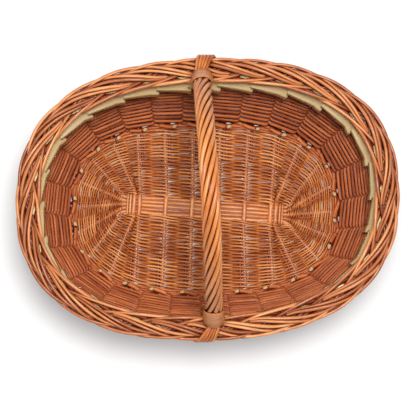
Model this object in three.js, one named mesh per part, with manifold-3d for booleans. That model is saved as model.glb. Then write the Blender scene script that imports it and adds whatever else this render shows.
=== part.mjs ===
import * as THREE from 'three';
import { mergeVertices } from 'three/addons/utils/BufferGeometryUtils.js';
import Module from 'manifold-3d';

// Oval willow shopping basket with a roped hoop handle.
// Millimetres, +Z up, origin on the floor under the middle of the base, X along the basket.

const wasm = await Module();
wasm.setup();

// Oval of the stakes, at the floor and at the top of the wall
const footLength = 340;
const footWidth = 219;
const flareLength = 42.5;
const flareWidth = 43.5;
const footPower = 2.7;
const rimPower = 2.4;
const rimSkew = 3.5;
const wallHeight = 170;
const bellyShare = 0.3;

// Base sticks and slath
const endStickCount = 5;
const crossStickCount = 8;
const longStickDiameter = 4.6;
const crossStickDiameter = 5.6;
const slathLength = 210;
const slathTurn = -3.7;
const crossStickSpacing = 34;
const pairedStickSpacing = 7;
const strapThickness = 2.1;
const bindingRod = 2.8;
const bindingWidth = 6;
const baseThickness = 12;

// Side stakes
const stakeDiameter = 4.8;
const stakeInsertion = 38;
const stakeBendRadius = 12;
const stakeShift = -0.2;
const stakeRise = 6;

// Upsett wale, siding and liner
const waleHeight = 17;
const waleInside = 6.5;
const waleOutside = 8;
const waleRound = 2.4;
const sidingThickness = 10;
const sidingWaist = 9.4;
const sidingCourses = 14;
const sidingSway = 1.4;
const linerThickness = 2;
const linerHeight = 20;
const linerDrop = 13;
const linerStep = 1;
const linerCutShare = 0.05;

// Border
const borderWidth = 23;
const borderHeight = 21;
const borderGroove = 2.4;
const borderStrands = 3;

// Handle
const handleRise = 167;
const handlePower = 0.75;
const handleShift = 0.14;
const handleFootShift = 0.08;
const handleInset = 9;
const coreDiameter = 9.6;
const coreTipDiameter = 5;
const coreDepth = 55;
const strandCount = 8;
const strandDiameter = 5.4;
const strandTurns = 2.625;
const collarThickness = 4;
const collarHeight = 18;
const collarRound = 1;
const collarLean = 0.2;
const lashingRod = 5;
const lashingRodCount = 5;
const lashingGroove = 1.7;
const lashingBends = [55, 35, 10, -15, -40];
const lashingLean = 12;
const lashingTail = 8;

// Clearances between neighbours
const gap = 0.35;
const collarClearance = 1.3;
const linerClearance = 0.6;

// Fineness of the search, the welds and the round shapes
const weldDistance = 1e-5;
const bisectError = 0.01;
const stickSides = 6;
const stakeSides = 5;
const bendSteps = 2;
const borderSides = 9;
const borderSteps = 3;
const wallSteps = 2;
const wallRows = 5;
const archSteps = 28;
const collarSides = 16;

// Sizes that follow from the ones above
const stakeCount = 2 * (endStickCount + crossStickCount);
const halfEnd = (endStickCount - 1) / 2;
const stakeRadius = stakeDiameter / 2;
const longRadius = longStickDiameter / 2;
const crossRadius = crossStickDiameter / 2;
const stickLevel = baseThickness / 2;
const slathAngle = THREE.MathUtils.degToRad(slathTurn);
const longStickPitch = longStickDiameter + gap;
const slitHalf = halfEnd * longStickPitch + longRadius + gap;
const slitRise = longRadius + gap;
const windowHalf = slitHalf + strapThickness + crossRadius;
const bindingSpan = 2 * (slitHalf + bindingRod);
const sidingBottom = waleHeight + gap;
const borderBottom = wallHeight + gap;
const borderLevel = borderBottom + borderHeight / 2;
const borderTop = borderBottom + borderHeight;
const springLevel = borderTop + gap;
const coreRadius = coreDiameter / 2;
const strandRadius = strandDiameter / 2;

const bark = { color: 0xc27c54, roughness: 0.55, metalness: 0 };
const darkBark = { color: 0x8a4c2c, roughness: 0.6, metalness: 0 };
const peeled = { color: 0xd7be87, roughness: 0.65, metalness: 0 };
const handleBark = { color: 0xdc8e5c, roughness: 0.5, metalness: 0 };

const basket = new THREE.Group();

function addPiece(name, geometry, colours) {
  const mesh = new THREE.Mesh(geometry, new THREE.MeshStandardMaterial(colours));
  mesh.name = name;
  basket.add(mesh);
}

// Oval wall

function ovalPoint(oval, angle) {
  const c = Math.cos(angle);
  const s = Math.sin(angle);
  const x = oval.halfLength * Math.sign(c) * Math.abs(c) ** (2 / oval.power);
  const y = oval.halfWidth * Math.sign(s) * Math.abs(s) ** (2 / oval.power);
  return new THREE.Vector2(x, y);
}

function ovalNormal(oval, point) {
  const x = point.x / oval.halfLength;
  const y = point.y / oval.halfWidth;
  const nx = (Math.sign(x) * Math.abs(x) ** (oval.power - 1)) / oval.halfLength;
  const ny = (Math.sign(y) * Math.abs(y) ** (oval.power - 1)) / oval.halfWidth;
  return new THREE.Vector2(nx, ny).normalize();
}

const foot = { halfLength: footLength / 2, halfWidth: footWidth / 2, power: footPower };

// Gives the oval's angle for a share of its length round the foot, so the stakes stand evenly.
function evenAngles() {
  const fineSteps = 7200;
  const lengths = [0];
  let last = ovalPoint(foot, 0);
  for (let i = 1; i <= fineSteps; i++) {
    const next = ovalPoint(foot, (2 * Math.PI * i) / fineSteps);
    lengths.push(lengths[i - 1] + next.distanceTo(last));
    last = next;
  }
  return (share) => {
    const target = (share - Math.floor(share)) * lengths[fineSteps];
    let low = 0;
    let high = fineSteps;
    while (high - low > 1) {
      const middle = Math.floor((low + high) / 2);
      if (lengths[middle] <= target) low = middle;
      else high = middle;
    }
    const rest = (target - lengths[low]) / (lengths[high] - lengths[low]);
    return (2 * Math.PI * (low + rest)) / fineSteps;
  };
}

const angleAt = evenAngles();

function wallFrame(place, z) {
  const rise = THREE.MathUtils.clamp(z / wallHeight, 0, 1);
  const lean = rise * (1 + bellyShare * (1 - rise));
  const oval = {
    halfLength: foot.halfLength + flareLength * lean,
    halfWidth: foot.halfWidth + flareWidth * lean,
    power: footPower + (rimPower - footPower) * lean,
  };
  const angle = angleAt(place / stakeCount);
  const point = ovalPoint(oval, angle);
  const normal = ovalNormal(oval, point);
  point.addScaledVector(normal, rimSkew * lean * Math.sin(2 * angle));
  return { point, normal };
}

// Point of the wall: place counts stakes round the oval, offset is outward from the stakes' line.
function wallPoint(place, offset, z) {
  const { point, normal } = wallFrame(place, z);
  return new THREE.Vector3(point.x + normal.x * offset, point.y + normal.y * offset, z);
}

// Solids from rings of points

function loft(rings, closed = false, cap = null) {
  const sides = rings[0].length;
  const indices = [];
  const bands = closed ? rings.length : rings.length - 1;
  for (let i = 0; i < bands; i++) {
    const here = i * sides;
    const next = ((i + 1) % rings.length) * sides;
    for (let j = 0; j < sides; j++) {
      const k = (j + 1) % sides;
      indices.push(here + j, here + k, next + k, here + j, next + k, next + j);
    }
  }
  if (!closed) {
    const end = (rings.length - 1) * sides;
    const faces = cap ?? fanFaces(sides);
    for (const [a, b, c] of faces) indices.push(a, c, b, end + a, end + b, end + c);
  }
  const geometry = new THREE.BufferGeometry();
  const positions = rings.flat().flatMap((p) => [p.x, p.y, p.z]);
  geometry.setAttribute('position', new THREE.Float32BufferAttribute(positions, 3));
  geometry.setIndex(indices);
  if (signedVolume(geometry) < 0) turnOver(geometry);
  return geometry;
}

function fanFaces(sides) {
  const faces = [];
  for (let j = 1; j < sides - 1; j++) faces.push([0, j, j + 1]);
  return faces;
}

function signedVolume(geometry) {
  const p = geometry.attributes.position;
  const index = geometry.index.array;
  const a = new THREE.Vector3();
  const b = new THREE.Vector3();
  const c = new THREE.Vector3();
  let volume = 0;
  for (let i = 0; i < index.length; i += 3) {
    a.fromBufferAttribute(p, index[i]);
    b.fromBufferAttribute(p, index[i + 1]);
    c.fromBufferAttribute(p, index[i + 2]);
    volume += a.dot(b.cross(c)) / 6;
  }
  return volume;
}

function turnOver(geometry) {
  const index = Array.from(geometry.index.array);
  for (let i = 0; i < index.length; i += 3) {
    [index[i + 1], index[i + 2]] = [index[i + 2], index[i + 1]];
  }
  geometry.setIndex(index);
}

// Rod along a path. widths and rises give its half-size across and upward at each point.
function rod(path, widths, rises, sides, up) {
  const rings = path.map((point, i) => {
    const before = path[Math.max(i - 1, 0)];
    const after = path[Math.min(i + 1, path.length - 1)];
    const along = after.clone().sub(before).normalize();
    const across = new THREE.Vector3().crossVectors(along, up).normalize();
    const over = new THREE.Vector3().crossVectors(across, along);
    const ring = [];
    for (let j = 0; j < sides; j++) {
      const turn = (2 * Math.PI * (j + 0.5)) / sides;
      const corner = point.clone();
      corner.addScaledVector(across, widths[i] * Math.cos(turn));
      corner.addScaledVector(over, rises[i] * Math.sin(turn));
      ring.push(corner);
    }
    return ring;
  });
  return loft(rings);
}

function roundRod(path, radius, sides, up) {
  const radii = Array.isArray(radius) ? radius : path.map(() => radius);
  return rod(path, radii, radii, sides, up);
}

// Room for a round rod: the same path, longer by the gap at each end, and wider by it all round.
function rodRoom(path, radius, sides, up) {
  const room = gap / Math.cos(Math.PI / sides);
  const radii = Array.isArray(radius) ? radius : path.map(() => radius);
  const last = path.length - 1;
  const longer = path.map((point) => point.clone());
  longer[0].add(path[0].clone().sub(path[1]).setLength(gap));
  longer[last].add(path[last].clone().sub(path[last - 1]).setLength(gap));
  return roundRod(longer, radii.map((r) => r + room), sides, up);
}

function boxAt(centre, length, width, height, turn) {
  const geometry = new THREE.BoxGeometry(length, width, height);
  geometry.rotateZ(turn);
  geometry.translate(centre.x, centre.y, centre.z);
  return geometry;
}

// Cutting

function toSolid(geometry) {
  const bare = geometry.clone();
  bare.deleteAttribute('normal');
  bare.deleteAttribute('uv');
  const merged = mergeVertices(bare, weldDistance);
  const vertProperties = new Float32Array(merged.attributes.position.array);
  const triVerts = new Uint32Array(merged.index.array);
  return new wasm.Manifold(new wasm.Mesh({ numProp: 3, vertProperties, triVerts }));
}

function cut(geometry, cutters) {
  let solid = toSolid(geometry);
  for (const cutter of cutters) solid = solid.subtract(toSolid(cutter));
  const mesh = solid.getMesh();
  const result = new THREE.BufferGeometry();
  result.setAttribute('position', new THREE.Float32BufferAttribute(mesh.vertProperties, 3));
  result.setIndex(Array.from(mesh.triVerts));
  return result;
}

// Base sticks, each with a stake pushed in on its right as seen from the middle

const UP = new THREE.Vector3(0, 0, 1);
const plateInset = waleInside + gap;

function slathPoint(x, y) {
  return new THREE.Vector2(x, y).rotateAround(new THREE.Vector2(), slathAngle);
}

function atStickLevel(point) {
  return new THREE.Vector3(point.x, point.y, stickLevel);
}

// How far a stick runs from its anchor before it meets the edge of the base.
function runInsideBase(anchor, along, inset) {
  const halfLength = foot.halfLength - inset;
  const halfWidth = foot.halfWidth - inset;
  let low = 0;
  let high = footLength;
  while (high - low > bisectError) {
    const middle = (low + high) / 2;
    const x = Math.abs(anchor.x + along.x * middle) / halfLength;
    const y = Math.abs(anchor.y + along.y * middle) / halfWidth;
    if (x ** footPower + y ** footPower < 1) low = middle;
    else high = middle;
  }
  return low;
}

// Where stick k leaves the slath, which way it runs, and where it ends in the base.
function stickRun(k, anchor, radius) {
  const stakeFoot = wallPoint(k + stakeShift, 0, stickLevel);
  const reach = new THREE.Vector2(stakeFoot.x, stakeFoot.y).sub(anchor);
  const beside = radius + stakeRadius + gap;
  const turn = Math.asin(beside / reach.length());
  const along = reach.clone().normalize().rotateAround(new THREE.Vector2(), turn);
  const length = runInsideBase(anchor, along, plateInset + 2 * gap);
  const end = anchor.clone().addScaledVector(along, length);
  return { k, anchor, along, stakeFoot, end, radius };
}

const runs = [];
const longPaths = [];
const crossPaths = [];

function planSticks() {
  for (let i = 0; i < endStickCount; i++) {
    const step = i - halfEnd;
    const y = step * longStickPitch;
    const right = stickRun(step, slathPoint(slathLength / 2, y), longRadius);
    const left = stickRun(stakeCount / 2 - step, slathPoint(-slathLength / 2, y), longRadius);
    runs.push(right, left);
    longPaths.push([left.end, left.anchor, right.anchor, right.end].map(atStickLevel));
  }
  for (let i = 0; i < crossStickCount; i++) {
    const step = i - (crossStickCount - 1) / 2;
    const single = (crossStickCount - 1) / 2 - 1;
    const x = THREE.MathUtils.clamp(step, -single, single) * crossStickSpacing
      + Math.sign(step) * Math.max(Math.abs(step) - single, 0) * pairedStickSpacing;
    const farStake = halfEnd + crossStickCount - i;
    const far = stickRun(farStake, slathPoint(x, windowHalf), crossRadius);
    const near = stickRun(stakeCount - farStake, slathPoint(x, -windowHalf), crossRadius);
    runs.push(far, near);
    crossPaths.push({ x, near, far });
  }
}

planSticks();

function addBaseSticks() {
  longPaths.forEach((path, i) => {
    addPiece(`base_stick_long_${i + 1}`, roundRod(path, longRadius, stickSides, UP), bark);
  });
  const strapTop = slitRise + strapThickness;
  const swellStart = windowHalf - gap;
  const swellEnd = slitHalf + strapThickness / 2;
  crossPaths.forEach(({ x, near, far }, i) => {
    const ys = [-swellStart, -swellEnd, swellEnd, swellStart];
    const middle = ys.map((y) => slathPoint(x, y));
    const path = [near.end, ...middle, far.end].map(atStickLevel);
    const widths = path.map(() => crossRadius);
    const rises = [crossRadius, crossRadius, strapTop, strapTop, crossRadius, crossRadius];
    const whole = rod(path, widths, rises, stickSides, UP);
    const centre = atStickLevel(slathPoint(x, 0));
    const slit = boxAt(centre, 2 * crossStickDiameter, 2 * slitHalf, 2 * slitRise, slathAngle);
    addPiece(`base_stick_cross_${i + 1}`, cut(whole, [slit]), bark);
  });
}

function bindingPlaces() {
  const x = slathLength / 2 - bindingWidth;
  return [-x, x];
}

function addSlathBindings() {
  const outerHeight = 2 * (slitRise + bindingRod);
  bindingPlaces().forEach((x, i) => {
    const centre = atStickLevel(slathPoint(x, 0));
    const outer = boxAt(centre, bindingWidth, bindingSpan, outerHeight, slathAngle);
    const inner = boxAt(centre, 2 * bindingWidth, 2 * slitHalf, 2 * slitRise, slathAngle);
    addPiece(`slath_binding_${['left', 'right'][i]}`, cut(outer, [inner]), bark);
  });
}

// Side stakes

// The stake lies beside its stick, bends up under the wale and follows the wall to its top.
function stakePath(run) {
  const { along, stakeFoot } = run;
  const inward = new THREE.Vector3(-along.x, -along.y, 0);
  const bendStart = stakeFoot.clone().addScaledVector(inward, stakeBendRadius);
  const butt = bendStart.clone().addScaledVector(inward, stakeInsertion);
  const place = run.k + stakeShift;
  const bendEnd = wallPoint(place, 0, stickLevel + stakeBendRadius);
  const bend = new THREE.QuadraticBezierCurve3(bendStart, stakeFoot, bendEnd);
  const path = [butt, ...bend.getPoints(bendSteps)];
  for (let row = 1; row < wallRows; row++) path.push(wallPoint(place, 0, wallRowLevel(row)));
  path.push(wallPoint(place, 0, wallHeight + stakeRise));
  return path;
}

function wallRowLevel(row) {
  return sidingBottom + ((wallHeight - sidingBottom) * row) / (wallRows - 1);
}

// Horizontal direction along the wall, which stays square to the stake all the way round its bend.
function stakeSide(run) {
  const { normal } = wallFrame(run.k + stakeShift, 0);
  return new THREE.Vector3(-normal.y, normal.x, 0);
}

function stakeTurned(run, radius, grow) {
  const path = stakePath(run);
  const shape = grow ? rodRoom : roundRod;
  return shape(path, radius, stakeSides, stakeSide(run));
}

const stakeRooms = runs.map((run) => stakeTurned(run, stakeRadius, true));

function addSideStakes() {
  for (const run of runs) {
    const number = ((run.k + stakeCount) % stakeCount) + 1;
    addPiece(`side_stake_${number}`, stakeTurned(run, stakeRadius, false), bark);
  }
}

// Base weave: an oval plate with a window over the slath, a slot for each stick and room for each stake

function stickSlot(run) {
  const start = -run.radius;
  const end = run.end.distanceTo(run.anchor) + gap;
  const middle = run.anchor.clone().addScaledVector(run.along, (start + end) / 2);
  const size = 2 * (run.radius + gap);
  return boxAt(atStickLevel(middle), end - start, size, size, run.along.angle());
}

// Opening right through the base at x along the slath.
function slathOpening(x, length, width) {
  return boxAt(atStickLevel(slathPoint(x, 0)), length, width, 2 * baseThickness, slathAngle);
}

function addBaseWeave() {
  const rings = [];
  for (let i = 0; i < stakeCount * wallSteps; i++) {
    const place = i / wallSteps + stakeShift;
    rings.push([wallPoint(place, -plateInset, 0), wallPoint(place, -plateInset, baseThickness)]);
  }
  const plate = platedRing(rings);
  const openings = [
    slathOpening(0, slathLength + 2 * gap, 2 * slitHalf),
    ...crossPaths.map(({ x }) => slathOpening(x, crossStickDiameter + 2 * gap, 2 * windowHalf)),
    ...bindingPlaces().map((x) => slathOpening(x, bindingWidth + 2 * gap, bindingSpan + 2 * gap)),
  ];
  addPiece('base_weave', cut(plate, [...openings, ...runs.map(stickSlot), ...stakeRooms]), bark);
}

// Plate from its lower and upper edge points, closed by a middle point above and below.
function platedRing(edges) {
  const count = edges.length;
  const positions = edges.flatMap(([low, high]) => [...low.toArray(), ...high.toArray()]);
  positions.push(0, 0, edges[0][0].z, 0, 0, edges[0][1].z);
  const lowMiddle = 2 * count;
  const highMiddle = lowMiddle + 1;
  const indices = [];
  for (let i = 0; i < count; i++) {
    const low = 2 * i;
    const high = low + 1;
    const nextLow = 2 * ((i + 1) % count);
    const nextHigh = nextLow + 1;
    indices.push(low, nextLow, nextHigh, low, nextHigh, high);
    indices.push(lowMiddle, nextLow, low, highMiddle, high, nextHigh);
  }
  const geometry = new THREE.BufferGeometry();
  geometry.setAttribute('position', new THREE.Float32BufferAttribute(positions, 3));
  geometry.setIndex(indices);
  return geometry;
}

// Closed band round the wall. section gives its outline as [offset, z] pairs at a place.
function wallBand(stepsPerStake, section) {
  const rings = [];
  for (let i = 0; i < stakeCount * stepsPerStake; i++) {
    const place = i / stepsPerStake + stakeShift;
    rings.push(section(place, i).map(([offset, z]) => wallPoint(place, offset, z)));
  }
  return loft(rings, true);
}

function addUpsettWale() {
  const outline = [
    [-waleInside, 0],
    [waleOutside - waleRound, 0],
    [waleOutside, waleRound],
    [waleOutside, waleHeight - waleRound],
    [waleOutside - waleRound, waleHeight],
    [-waleInside, waleHeight],
  ];
  addPiece('upsett_wale', cut(wallBand(wallSteps, () => outline), stakeRooms), darkBark);
}

// Handle: an arch from the far side of the border to the near side

const rootPlaces = [stakeCount / 4 + handleShift, (3 * stakeCount) / 4 + handleShift];
const footPlaces = rootPlaces.map((place) => place + handleFootShift);
const legFeet = footPlaces.map((place) => wallPoint(place, -handleInset, springLevel));
const archMiddle = legFeet[0].clone().add(legFeet[1]).divideScalar(2);
const archHalf = legFeet[0].clone().sub(archMiddle);
const archSide = new THREE.Vector3().crossVectors(archHalf, UP).normalize();

// The arch lies between a half ellipse and a parabola, so that its feet lean in a little.
function archPoint(share) {
  const turn = Math.PI * share;
  const point = archMiddle.clone().addScaledVector(archHalf, Math.cos(turn));
  point.z = springLevel + handleRise * Math.sin(turn) ** (2 * handlePower);
  return point;
}

function legPath(place, end) {
  const tip = wallPoint(place, 0, wallHeight - coreDepth);
  return [tip, wallPoint(place, 0, wallHeight), legFeet[end].clone()];
}

const legRadii = [coreTipDiameter / 2, coreTipDiameter / 2, coreRadius];
const legRooms = rootPlaces.map((place, end) => rodRoom(legPath(place, end), legRadii, stickSides, archSide));

function addHandleCore() {
  const arch = [];
  for (let i = 1; i < archSteps; i++) arch.push(archPoint(i / archSteps));
  const path = [...legPath(rootPlaces[0], 0), ...arch, ...legPath(rootPlaces[1], 1).reverse()];
  const radii = [...legRadii, ...arch.map(() => coreRadius), ...legRadii.toReversed()];
  addPiece('handle_core', roundRod(path, radii, stickSides, archSide), bark);
}

// Strands lie in a helix round the core. The sag is what straight steps cut off the helix.
const strandPitch = archLength() / strandTurns;
const sag = 1 - Math.cos((Math.PI * strandTurns) / archSteps);
const strandCentre = (coreRadius + gap + strandRadius) / (1 - sag);

function archLength() {
  let length = 0;
  for (let i = 1; i <= archSteps; i++) {
    length += archPoint(i / archSteps).distanceTo(archPoint((i - 1) / archSteps));
  }
  return length;
}

function strandPath(index) {
  const path = [];
  let length = 0;
  for (let i = 0; i <= archSteps; i++) {
    const here = archPoint(i / archSteps);
    if (i > 0) length += here.distanceTo(archPoint((i - 1) / archSteps));
    const before = archPoint(Math.max(i - 1, 0) / archSteps);
    const along = archPoint(Math.min(i + 1, archSteps) / archSteps).sub(before).normalize();
    const over = new THREE.Vector3().crossVectors(along, archSide);
    const wind = 2 * Math.PI * (index / strandCount + length / strandPitch);
    here.addScaledVector(archSide, strandCentre * Math.cos(wind));
    here.addScaledVector(over, strandCentre * Math.sin(wind));
    path.push(here);
  }
  return path;
}

function addHandleStrands() {
  for (let i = 0; i < strandCount; i++) {
    const strand = roundRod(strandPath(i), strandRadius, stakeSides, archSide);
    addPiece(`handle_strand_${i + 1}`, strand, handleBark);
  }
}

function addHandleCollars() {
  const inner = strandCentre + strandRadius + collarClearance;
  const outer = inner + collarThickness;
  const low = springLevel;
  const high = low + collarHeight;
  const profile = [
    [inner, low],
    [outer - collarRound, low],
    [outer, low + collarRound],
    [outer, high - collarRound],
    [outer - collarRound, high],
    [inner, high],
  ];
  [['far', 0], ['near', 1]].forEach(([name, end]) => {
    const inward = archMiddle.clone().sub(legFeet[end]).normalize();
    const rings = [];
    for (let i = 0; i < collarSides; i++) {
      const turn = (2 * Math.PI * i) / collarSides;
      const facing = new THREE.Vector3(Math.cos(turn), Math.sin(turn), 0);
      rings.push(profile.map(([r, z]) => {
        const centre = legFeet[end].clone().addScaledVector(inward, (z - low) * collarLean);
        return centre.addScaledVector(facing, r).setZ(z);
      }));
    }
    addPiece(`handle_collar_${name}`, loft(rings, true), handleBark);
  });
}

// Lashings: rods side by side over the outside of the border and down to the siding

function lashingLine() {
  const away = gap + lashingRod / 2;
  const line = lashingBends.map((degrees) => {
    const turn = THREE.MathUtils.degToRad(degrees);
    const offset = (borderWidth / 2 + away) * Math.cos(turn);
    return [offset, borderLevel + (borderHeight / 2 + away) * Math.sin(turn)];
  });
  line.push([sidingThickness / 2 + sidingSway + away, wallHeight - lashingTail]);
  return line;
}

// Outline across the rods: a crest for each rod outside, and a flat back.
function lashingSection() {
  const radius = lashingRod / 2;
  const halfWidth = (lashingRod * lashingRodCount) / 2;
  const outline = [new THREE.Vector2(-halfWidth, -radius), new THREE.Vector2(halfWidth, -radius)];
  for (let i = 0; i <= 2 * lashingRodCount; i++) {
    const across = halfWidth - i * radius;
    outline.push(new THREE.Vector2(across, i % 2 === 1 ? radius : radius - lashingGroove));
  }
  return outline;
}

function addHandleLashings() {
  const line = lashingLine();
  const outline = lashingSection();
  const cap = THREE.ShapeUtils.triangulateShape(outline, []);
  [['far', 0], ['near', 1]].forEach(([name, end]) => {
    const centre = wallFrame(footPlaces[end], wallHeight);
    const out = new THREE.Vector3(centre.normal.x, centre.normal.y, 0);
    const across = new THREE.Vector3(-centre.normal.y, centre.normal.x, 0);
    const points = line.map(([offset, z]) => wallPoint(footPlaces[end], offset, z));
    const rings = points.map((point, i) => {
      const before = points[Math.max(i - 1, 0)];
      const after = points[Math.min(i + 1, points.length - 1)];
      const along = after.clone().sub(before).normalize();
      const facing = new THREE.Vector3().crossVectors(across, along).normalize();
      if (facing.dot(out) < 0) facing.negate();
      const lean = lashingLean * (1 / 2 - i / (points.length - 1));
      return outline.map((corner) => {
        const placed = point.clone().addScaledVector(across, corner.x + lean);
        return placed.addScaledVector(facing, corner.y);
      });
    });
    addPiece(`handle_lashing_${name}`, loft(rings, false, cap), handleBark);
  });
}

// Siding: a band of courses that pass inside and outside the stakes in turn

function courseLevel(course) {
  return sidingBottom + ((wallHeight - sidingBottom) * course) / sidingCourses;
}

function addSiding() {
  const section = (place, i) => {
    const atStake = i % wallSteps === 0;
    const half = (atStake ? sidingThickness : sidingWaist) / 2;
    const outside = [];
    const inside = [];
    for (let course = 0; course <= sidingCourses; course++) {
      const level = courseLevel(course);
      const sways = atStake && course > 0 && course < sidingCourses;
      const turn = (course + i / wallSteps) % 2 === 0 ? 1 : -1;
      const middle = sways ? turn * sidingSway : 0;
      outside.push([middle + half, level]);
      inside.unshift([middle - half, level]);
    }
    return [...outside, ...inside];
  };
  const band = wallBand(wallSteps, section);
  addPiece('siding', cut(band, [...stakeRooms, ...legRooms]), darkBark);
}

// Liner: one splint for each gap against the top of the siding, running down to its cut end

function addLiner() {
  const rings = [];
  const back = -sidingThickness / 2 - sidingSway - linerClearance;
  for (let i = 0; i < stakeCount; i++) {
    for (const [place, inward, drop] of [[i, linerStep, linerDrop], [i + 1 - linerCutShare, 0, 0]]) {
      const behind = back - inward;
      const face = behind - linerThickness;
      const low = wallHeight - linerHeight - drop;
      const outline = [[behind, low], [behind, wallHeight], [face, wallHeight], [face, low]];
      rings.push(outline.map(([offset, z]) => wallPoint(place + stakeShift, offset, z)));
    }
  }
  addPiece('liner', loft(rings, true), peeled);
}

// Border: a ring whose grooves wind round it like the plaited stake tops

function addBorder() {
  const section = (place) => {
    const outline = [];
    for (let j = 0; j < borderSides; j++) {
      const turn = (2 * Math.PI * j) / borderSides;
      const lay = (borderStrands * turn) / 2 + Math.PI * place;
      const groove = borderGroove * (1 - Math.abs(Math.cos(lay)));
      const offset = (borderWidth / 2 - groove) * Math.cos(turn);
      outline.push([offset, borderLevel + (borderHeight / 2 - groove) * Math.sin(turn)]);
    }
    return outline;
  };
  const ring = wallBand(borderSteps, section);
  addPiece('border', cut(ring, [...stakeRooms, ...legRooms]), bark);
}

addBaseSticks();
addSlathBindings();
addBaseWeave();
addSideStakes();
addUpsettWale();
addSiding();
addLiner();
addBorder();
addHandleCore();
addHandleStrands();
addHandleCollars();
addHandleLashings();

export default basket;
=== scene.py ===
import math

import bpy
import numpy as np
from mathutils import Matrix, Vector


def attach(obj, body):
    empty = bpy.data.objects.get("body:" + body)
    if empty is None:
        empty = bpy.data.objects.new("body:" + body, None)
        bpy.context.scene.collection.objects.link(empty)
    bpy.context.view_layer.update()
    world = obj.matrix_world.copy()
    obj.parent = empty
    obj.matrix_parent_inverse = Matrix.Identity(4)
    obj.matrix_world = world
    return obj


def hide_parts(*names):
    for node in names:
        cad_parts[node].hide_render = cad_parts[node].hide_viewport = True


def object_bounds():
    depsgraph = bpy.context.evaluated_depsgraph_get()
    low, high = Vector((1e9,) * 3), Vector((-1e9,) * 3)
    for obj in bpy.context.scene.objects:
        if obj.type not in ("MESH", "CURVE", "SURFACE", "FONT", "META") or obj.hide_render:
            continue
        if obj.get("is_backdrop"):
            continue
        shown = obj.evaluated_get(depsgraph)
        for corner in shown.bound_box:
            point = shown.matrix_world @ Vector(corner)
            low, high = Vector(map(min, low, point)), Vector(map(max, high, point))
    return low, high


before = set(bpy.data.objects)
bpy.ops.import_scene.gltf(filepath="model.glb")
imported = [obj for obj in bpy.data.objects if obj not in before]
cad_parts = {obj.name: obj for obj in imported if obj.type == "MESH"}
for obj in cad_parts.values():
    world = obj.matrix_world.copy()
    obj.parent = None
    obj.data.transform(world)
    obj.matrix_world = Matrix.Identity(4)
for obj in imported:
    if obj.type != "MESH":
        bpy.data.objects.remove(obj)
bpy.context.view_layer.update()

# Oval willow shopping basket. Working sizes are in millimetres and become metres in the meshes.
# A place counts side stakes round the oval, counter-clockwise from the right end.

wall = {
    "footLength": 340, "footWidth": 219, "flareLength": 42.5, "flareWidth": 43.5,  # flare of each side
    "footPower": 2.7, "rimPower": 2.4, "rimSkew": 3.5,  # how square the oval is, and how askew
    "height": 170, "belly": 0.3, "stakes": 26, "stakeShift": -0.2,
}

# The wall as a surface


def ovalPoint(halfLength, halfWidth, power, angle):
    c, s = np.cos(angle), np.sin(angle)
    x = halfLength * np.sign(c) * np.abs(c) ** (2 / power)
    y = halfWidth * np.sign(s) * np.abs(s) ** (2 / power)
    return np.stack([x, y], -1)


def evenAngles():
    angles = np.linspace(0, 2 * math.pi, 7201)
    points = ovalPoint(wall["footLength"] / 2, wall["footWidth"] / 2, wall["footPower"], angles)
    lengths = np.concatenate([[0], np.cumsum(np.linalg.norm(np.diff(points, axis=0), axis=1))])
    return angles, lengths / lengths[-1]


angleTable, lengthTable = evenAngles()


def wallFrame(place, z):
    place, z = np.broadcast_arrays(np.asarray(place, float), np.asarray(z, float))
    angle = np.interp((place / wall["stakes"]) % 1, lengthTable, angleTable)
    rise = np.clip(z / wall["height"], 0, 1)
    lean = rise * (1 + wall["belly"] * (1 - rise))
    halfLength = wall["footLength"] / 2 + wall["flareLength"] * lean
    halfWidth = wall["footWidth"] / 2 + wall["flareWidth"] * lean
    power = wall["footPower"] + (wall["rimPower"] - wall["footPower"]) * lean
    point = ovalPoint(halfLength, halfWidth, power, angle)
    nx = np.sign(point[..., 0]) * np.abs(point[..., 0] / halfLength) ** (power - 1) / halfLength
    ny = np.sign(point[..., 1]) * np.abs(point[..., 1] / halfWidth) ** (power - 1) / halfWidth
    normal = np.stack([nx, ny], -1)
    normal /= np.linalg.norm(normal, axis=-1, keepdims=True)
    return point + normal * (wall["rimSkew"] * lean * np.sin(2 * angle))[..., None], normal


def wallPoint(place, offset, z):
    place, offset, z = np.broadcast_arrays(*(np.asarray(v, float) for v in (place, offset, z)))
    point, normal = wallFrame(place, z)
    return np.concatenate([point + normal * offset[..., None], z[..., None]], -1)


def panelPoint(place, offset, z):  # as wallPoint, but straight from corner to corner, between stakes
    place, offset, z = np.broadcast_arrays(*(np.asarray(v, float) for v in (place, offset, z)))
    shift = wall["stakeShift"] + 0.5
    start = np.floor(place - shift) + shift  # the corner just before each place
    share = (place - start)[..., None]
    first, firstNormal = wallFrame(start, z)
    last, lastNormal = wallFrame(start + 1, z)
    normal = unit(firstNormal * (1 - share) + lastNormal * share)
    point = first * (1 - share) + last * share + normal * offset[..., None]
    return np.concatenate([point, z[..., None]], -1)


def smoothThrough(points, steps, closed=False):  # a curve through all the points
    points = np.asarray(points, float)
    if closed:
        padded = np.concatenate([points[-1:], points, points[:2]])
    else:
        padded = np.concatenate([[2 * points[0] - points[1]], points, [2 * points[-1] - points[-2]]])
    count = len(padded) - 3
    t = np.arange(steps)[None, :, None] / steps
    a, b, c, d = (padded[i:i + count, None, :] for i in range(4))
    curve = b + 0.5 * t * (c - a + t * (2 * a - 5 * b + 4 * c - d + t * (3 * b - a - 3 * c + d)))
    curve = curve.reshape(-1, points.shape[1])
    return curve if closed else np.concatenate([curve, points[-1:]])


def unit(vectors):
    return vectors / np.linalg.norm(vectors, axis=-1, keepdims=True)


def pathLengths(path):
    return np.concatenate([[0], np.cumsum(np.linalg.norm(np.diff(path, axis=0), axis=1))])


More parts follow.
